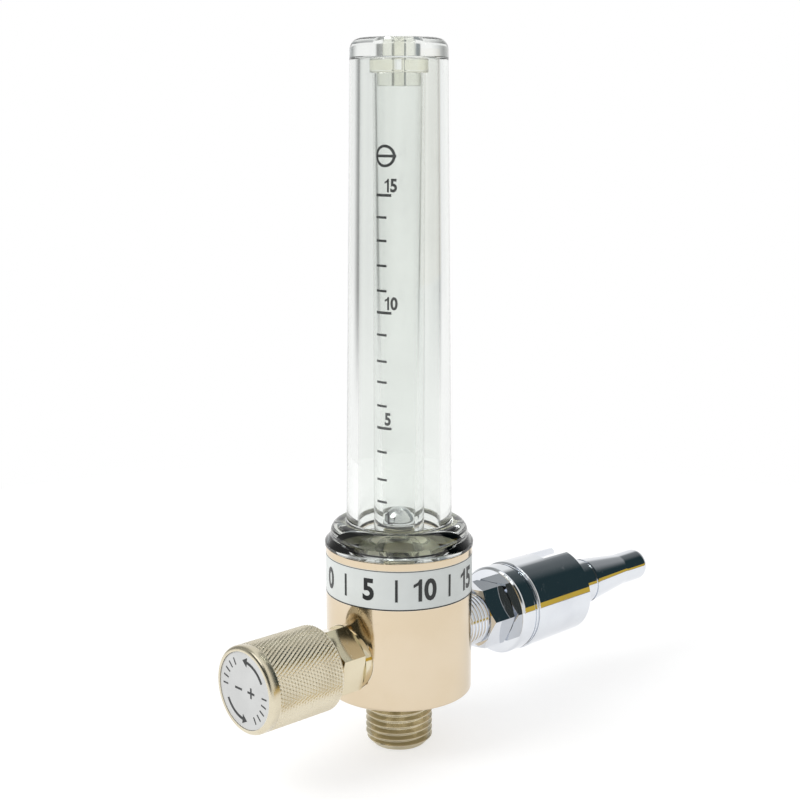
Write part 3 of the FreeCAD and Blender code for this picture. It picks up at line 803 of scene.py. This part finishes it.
inlet = {
    "crest": 5.9, "root": 5.3, "pitch": 1.0, "start": 14.3, "end": 21.9,
    "profile": (0.0, 0.0, 0.35, 0.8, 1.0, 1.0, 0.65, 0.2),
    "foot": 9.2, "nose": 24.2, "boreRadius": 2.2, "around": 80, "sharp": 50,
}


def makeInlet():
    def shape(row, height):
        return inlet["crest"] - inlet["profile"][row] * (inlet["crest"] - inlet["root"])

    bm = bmesh.new()
    helixRows(bm, inlet["pitch"], inlet["start"], inlet["end"], shape, inlet["around"],
              len(inlet["profile"]))
    middle = (inlet["start"] + inlet["end"]) / 2
    drawIn(bm, inlet["start"], ((inlet["crest"], inlet["start"]), (inlet["crest"], inlet["foot"]),
                                (inlet["boreRadius"], inlet["foot"]), (inlet["boreRadius"], middle)))
    drawIn(bm, inlet["end"], ((inlet["crest"], inlet["end"]), (inlet["crest"], inlet["nose"]),
                              (inlet["boreRadius"], inlet["nose"]), (inlet["boreRadius"], middle)))
    piece = finishPiece(bm, "inletThread", chromeMetal, layToWall, "root", inlet["sharp"])
    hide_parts("inlet_nipple")


knurl = {
    "crest": 9.0, "mainDepth": 0.18, "crossDepth": 0.10, "back": 22.3, "face": 41.6, "rim": 2.2,
    "edgeRound": 0.8, "backChamfer": 1.2, "cells": 134, "pitch": 0.725, "land": 0.37,
    "inset": 0.3, "backStep": 0.02, "backLand": 0.25, "rimStep": 0.06, "rimEase": 0.15,
    "hollowRadius": 5.4, "hollowEnd": 26.7, "discRadius": 7.95, "discSeat": 40.9,
    "wellRadius": 3.2, "wellEnd": 39.2, "holeRadius": 2.05, "around": 128, "sharp": 28,
}


def makeKnob():
    start = knurl["back"] + knurl["backChamfer"]
    end = knurl["face"] - knurl["rim"]
    low = knurl["crest"] - knurl["mainDepth"]
    bm = bmesh.new()
    grid = {}

    # diamond cells: a and b count the two families of grooves, u runs round and v along
    def vert(a, b, onMain, onCross):
        u = round((a + b) % knurl["cells"], 4)
        v = round(a - b, 4)
        if (u, v) not in grid:
            radius = knurl["crest"] - max(knurl["mainDepth"] * onMain, knurl["crossDepth"] * onCross)
            turn = 2 * math.pi * u / knurl["cells"]
            height = start + v * knurl["pitch"]
            grid[u, v] = bm.verts.new((radius * math.cos(turn), radius * math.sin(turn), height))
        return grid[u, v]

    land = knurl["land"]
    steps = (0, land, 1 - land, 1)
    rows = int((end - start) / knurl["pitch"]) + 2
    for v in range(-1, rows + 1):
        for u in range((v + 1) % 2, knurl["cells"], 2):
            b = (u - 1 - v) // 2
            a = b + v
            corner = [[vert(a + s, b + t, s in (0, 1), t in (0, 1)) for t in steps] for s in steps]
            for i in range(len(steps) - 1):
                for j in range(len(steps) - 1):
                    bm.faces.new((corner[i][j], corner[i + 1][j], corner[i + 1][j + 1], corner[i][j + 1]))
    inner = low - knurl["inset"]
    for height, sign in ((start, -1), (end, 1)):
        trim(bm, height, sign)
        drawIn(bm, height, ((inner, height),))

    # rim, back and hollows; the knurl's open ends are drawn in to meet them
    backEdge = low - knurl["backStep"]
    outline = [
        (knurl["hollowRadius"], knurl["back"]),
        (knurl["crest"] - knurl["backChamfer"], knurl["back"]),
        (backEdge, start - knurl["backLand"]),
        (backEdge, start),
        (inner, start),
        (inner, end),
        (knurl["crest"] - knurl["rimStep"], end),
        (knurl["crest"], end + knurl["rimEase"]),
        (knurl["crest"], knurl["face"], knurl["edgeRound"]),
        (knurl["discRadius"], knurl["face"]),
        (knurl["discRadius"], knurl["discSeat"]),
        (knurl["wellRadius"], knurl["discSeat"]),
        (knurl["wellRadius"], knurl["wellEnd"]),
        (knurl["holeRadius"], knurl["wellEnd"]),
        (knurl["holeRadius"], knurl["hollowEnd"]),
        (knurl["hollowRadius"], knurl["hollowEnd"]),
    ]
    turnOutline(bm, soften(outline), knurl["around"])
    piece = finishPiece(bm, "knurledKnob", knobMetal, layToUser, "knob", knurl["sharp"])
    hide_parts("knob")


makeOutlet()
makeInlet()
makeKnob()
print("threads and knurl made")


# Print: closed, hair-thin forms that are laid on the surface that carries them

ink = {
    "thickness": 0.03, "lift": 0.012, "weld": 1e-5,
    "space": 0.1, "stem": 0.15,      # between figures, and of figure 1, as shares of the height
}


def drawFigure(figure, height, bold, narrow):
    # flat mesh of one figure that starts at x 0 and stands on y 0
    if figure == "1":
        # a plain stem with a flag, its corners as shares of the height
        stem = ink["stem"] + bold
        corners = ((0.28, 0), (0.28 + stem, 0), (0.28 + stem, 1), (0.34, 1), (0.24, 0.86), (0.04, 0.77),
                   (0.04, 0.77 - 0.8 * stem), (0.28, 0.74))
        mesh = bpy.data.meshes.new("figure")
        places = [(x * height * narrow, y * height, 0) for x, y in corners]
        mesh.from_pydata(places, [], [range(len(corners))])
        return mesh
    curve = bpy.data.curves.new("figure", "FONT")
    curve.body = figure
    curve.resolution_u = 4
    curve.offset = bold
    holder = bpy.data.objects.new("figure", curve)
    mesh = bpy.data.meshes.new_from_object(holder)
    bpy.data.objects.remove(holder)
    bpy.data.curves.remove(curve)
    left, low = [min(vert.co[i] for vert in mesh.vertices) for i in (0, 1)]
    size = height / (max(vert.co.y for vert in mesh.vertices) - low)
    for vert in mesh.vertices:
        vert.co = ((vert.co.x - left) * size * narrow, (vert.co.y - low) * size, 0)
    return mesh


def addText(bm, words, height, x, y, bold=0.0, narrow=0.9, fromLeft=False):
    # plain figures standing on y, centred on x or starting from it
    meshes = [drawFigure(figure, height, bold, narrow) for figure in words]
    widths = [max(vert.co.x for vert in mesh.vertices) for mesh in meshes]
    space = ink["space"] * height
    if not fromLeft:
        x -= (sum(widths) + space * (len(widths) - 1)) / 2
    for mesh, width in zip(meshes, widths):
        mesh.transform(Matrix.Translation((x, y, 0)))
        bm.from_mesh(mesh)
        bpy.data.meshes.remove(mesh)
        x += width + space


def addFlat(bm, corners):
    bm.faces.new([bm.verts.new((x, y, 0)) for x, y in corners])


def addBar(bm, left, right, low, high):
    addFlat(bm, ((left, low), (right, low), (right, high), (left, high)))


def addRing(bm, x, y, radius, line, around=40):
    inner, outer = [[bm.verts.new((x + r * math.cos(2 * math.pi * i / around),
                                   y + r * math.sin(2 * math.pi * i / around), 0)) for i in range(around)]
                    for r in (radius - line / 2, radius + line / 2)]
    for i in range(around):
        j = (i + 1) % around
        bm.faces.new((inner[i], outer[i], outer[j], inner[j]))


def thicken(bm):
    grown = bmesh.ops.extrude_face_region(bm, geom=bm.faces[:])["geom"]
    for item in grown:
        if isinstance(item, bmesh.types.BMVert):
            item.co.z += ink["thickness"]


def wrap(bm, radius, step):
    # cuts the flat print into narrow strips and rolls it round a cylinder, x being the way round
    xs = [vert.co.x for vert in bm.verts]
    place = min(xs) + step
    while place < max(xs):
        bmesh.ops.bisect_plane(bm, geom=bm.verts[:] + bm.edges[:] + bm.faces[:], dist=ink["weld"],
                               plane_co=(place, 0, 0), plane_no=(1, 0, 0))
        place += step
    thicken(bm)
    for vert in bm.verts:
        turn = math.radians(-90) + vert.co.x / radius
        reach = radius + ink["lift"] + vert.co.z
        vert.co = (reach * math.cos(turn), reach * math.sin(turn), vert.co.y)


scale = {
    "radius": 5.3, "left": -8.0, "shortRight": 20.0, "longRight": 31.0, "figureTurn": 15.0,
    "litres": (49.35, 54.52, 59.27, 65.12, 70.19, 74.80, 79.74, 84.06, 89.50, 94.06, 98.48, 103.56,
               108.58, 113.26, 117.66),     # heights of the marks as they were read, from 1 up
    "figureHeight": 2.7, "figureRise": 0.6, "figureBold": 0.035, "figureNarrow": 0.8,
    "line": 0.48, "boldLine": 0.56, "boldEvery": 5, "strip": 0.35,
    "centreMark": 125.4, "centreTurn": 16.0, "centreRadius": 1.95, "centreLine": 0.56, "centreTail": 0.4,
}


def makeScale():
    def across(turn):
        return math.radians(turn) * scale["radius"]

    bm = bmesh.new()
    for litre, height in enumerate(scale["litres"], 1):
        main = litre % scale["boldEvery"] == 0
        right = scale["longRight"] if main else scale["shortRight"]
        half = (scale["boldLine"] if main else scale["line"]) / 2
        addBar(bm, across(scale["left"]), across(right), height - half, height + half)
        if main or litre == 1:
            addText(bm, str(litre), scale["figureHeight"], across(scale["figureTurn"]),
                    height + scale["figureRise"], scale["figureBold"], scale["figureNarrow"], fromLeft=True)
    # read at the middle of the float
    middle = across(scale["centreTurn"])
    reach = scale["centreRadius"]
    half = scale["centreLine"] / 2
    addRing(bm, middle, scale["centreMark"], reach, scale["centreLine"])
    addBar(bm, middle - reach - half, middle + reach + scale["centreTail"],
           scale["centreMark"] - half, scale["centreMark"] + half)
    wrap(bm, scale["radius"], scale["strip"])
    finishPiece(bm, "flowScale", printInk, layUp, "root", weld=ink["weld"])


label = {
    "radius": 15.48, "figureHeight": 4.7, "figureFoot": 36.3, "figureBold": 0.03, "strip": 0.6,
    "turns": (-19.0, 23.0, 67.0, 111.0), "figures": ("0", "5", "10", "15"),
    "barTurns": (2.0, 45.0, 89.0), "barWidth": 0.55,
    # the low line is painted shadow: a thin dark line along the label's lower edge, where the step into its
    # recess casts shade
    "lowPaintedShadowLine": (34.46, 34.68), "highLine": (42.58, 42.70), "lineTurns": (-88.0, 268.0),
}


def makeLabelPrint():
    bm = bmesh.new()
    for turn, figure in zip(label["turns"], label["figures"]):
        addText(bm, figure, label["figureHeight"], math.radians(turn) * label["radius"],
                label["figureFoot"], label["figureBold"])
    for turn in label["barTurns"]:
        x = math.radians(turn) * label["radius"]
        addBar(bm, x - label["barWidth"] / 2, x + label["barWidth"] / 2,
               label["figureFoot"], label["figureFoot"] + label["figureHeight"])
    left, right = [math.radians(turn) * label["radius"] for turn in label["lineTurns"]]
    # the low line is a painted shadow standing in for the shade of the step below the label; the high line is
    # print
    addBar(bm, left, right, *label["lowPaintedShadowLine"])
    addBar(bm, left, right, *label["highLine"])
    wrap(bm, label["radius"], label["strip"])
    finishPiece(bm, "labelPrintAndShadowLine", printInk, layUp, "root", weld=ink["weld"])


dial = {
    "face": 41.4, "arrows": ((28.0, 82.0), (208.0, 262.0)),     # turns at which each arrow starts and ends
    "arrowRadius": 6.1, "line": 0.6, "arrowSteps": 14, "headLength": 1.4, "headWidth": 2.0,
    "ticks": 24, "tickInner": 5.4, "tickOuter": 6.9, "tickWidth": 0.32,
    "clearBefore": 14.0, "clearAfter": 26.0,                    # no tick stands this near an arrow
    "signPlace": 2.0, "signReach": 1.1, "signHalf": 0.22,       # minus on the left, plus on the right
}


def makeDialPrint():
    def outward(degrees):
        return Vector((math.cos(math.radians(degrees)), math.sin(math.radians(degrees))))

    bm = bmesh.new()
    radius = dial["arrowRadius"]
    for start, end in dial["arrows"]:
        rows = []
        for i in range(dial["arrowSteps"] + 1):
            side = outward(start + (end - start) * i / dial["arrowSteps"])
            rows.append([bm.verts.new((*side * reach, 0))
                         for reach in (radius - dial["line"] / 2, radius + dial["line"] / 2)])
        for low, high in zip(rows, rows[1:]):
            bm.faces.new((low[0], low[1], high[1], high[0]))
        side = outward(end)
        ahead = Vector((-side.y, side.x))
        half = side * dial["headWidth"] / 2
        addFlat(bm, (side * radius + half, side * radius + ahead * dial["headLength"], side * radius - half))
    for i in range(dial["ticks"]):
        turn = 360 / dial["ticks"] * i
        if any(start - dial["clearBefore"] < turn < end + dial["clearAfter"]
               for start, end in dial["arrows"]):
            continue
        side = outward(turn)
        half = Vector((-side.y, side.x)) * dial["tickWidth"] / 2
        inner, outer = side * dial["tickInner"], side * dial["tickOuter"]
        addFlat(bm, (inner - half, outer - half, outer + half, inner + half))
    place, reach, half = dial["signPlace"], dial["signReach"], dial["signHalf"]
    addBar(bm, -place - reach, -place + reach, -half, half)
    addBar(bm, place - reach, place + reach, -half, half)
    addBar(bm, place - half, place + half, -reach, -half)
    addBar(bm, place - half, place + half, half, reach)
    thicken(bm)
    for vert in bm.verts:
        vert.co.z += dial["face"] + ink["lift"]
    finishPiece(bm, "dialPrint", printInk, layToUser, "knob", weld=ink["weld"])


makeScale()
makeLabelPrint()
makeDialPrint()
print("print made")


# Finishes of the CAD nodes that stay as they are

finishes = {
    "valve_block": blockMetal, "valve_bonnet": bonnetMetal, "label_band": labelWhite,
    "float_ball": steelMetal, "needle_spindle": steelMetal, "knob_screw": steelMetal,
    "union_nut": chromeMetal, "probe_stem": chromeMetal, "probe_collar": chromeMetal,
    "index_sleeve": chromeMetal, "ball_seat": seatPaintedLightMetal, "orifice_seat": brassMetal,
    "inlet_filter": brassMetal, "top_cushion": softVinyl, "knob_disc": discSilver,
    "outlet_ring": sealRubber, "cover_ring": coverRubber, "tube_ring": sealRubber,
    "spindle_ring": sealRubber, "bonnet_gasket": fibreWasher, "union_seal": fibreWasher,
}
for name, material in finishes.items():
    for slotOfNode in nodes[name].material_slots:
        slotOfNode.material = material
print("finishes laid on", len(finishes), "nodes")
